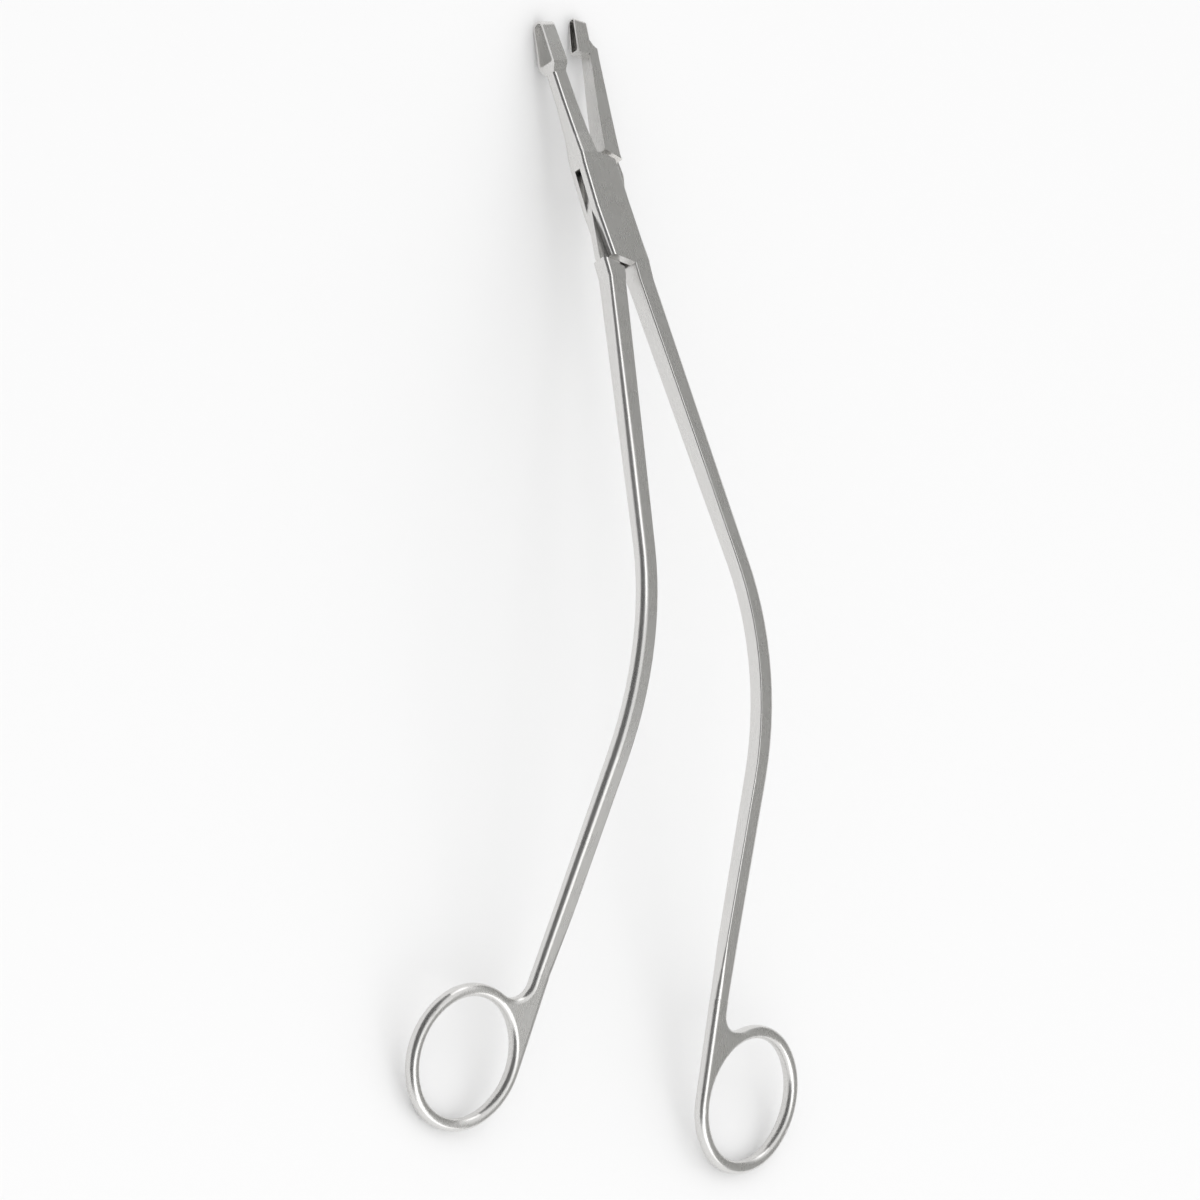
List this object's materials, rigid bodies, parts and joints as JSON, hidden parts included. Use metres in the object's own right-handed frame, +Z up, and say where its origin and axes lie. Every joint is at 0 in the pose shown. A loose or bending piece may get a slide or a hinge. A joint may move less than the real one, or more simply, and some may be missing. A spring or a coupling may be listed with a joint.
{
  "type": "biopsy forceps",
  "caption": "Slender surgical forceps with finger-ring handles, bent shanks, a box-lock hinge and a small punch jaw that closes on a windowed jaw.",
  "frame": {"origin": "On the surface that the forceps rest on, under the middle of their bounding box.", "axes": "+Z up; +Y from the finger rings towards the jaws; +X towards the ring of the box arm. The forceps lie as an arch, front face of the lock up, on the jaw tip and the finger rings."},
  "size_m": [0.1064, 0.2382, 0.0407],
  "materials": {
    "instrument_steel": "fine satin polish",
    "pin_steel": "dressed flush with the lock"
  },
  "bodies": {
    "box_arm": {"box_arm": "instrument_steel", "pivot_pin": "pin_steel"},
    "through_arm": {"through_arm": "instrument_steel"}
  },
  "joints": [
    {"name": "lock_hinge", "type": "hinge", "parent": "box_arm", "child": "through_arm", "pos_m": [-0.00087, 0.07581, 0.01376], "axis": [0, -0.2884, -0.9575], "range_deg": [-8.2, 15]}
  ]
}
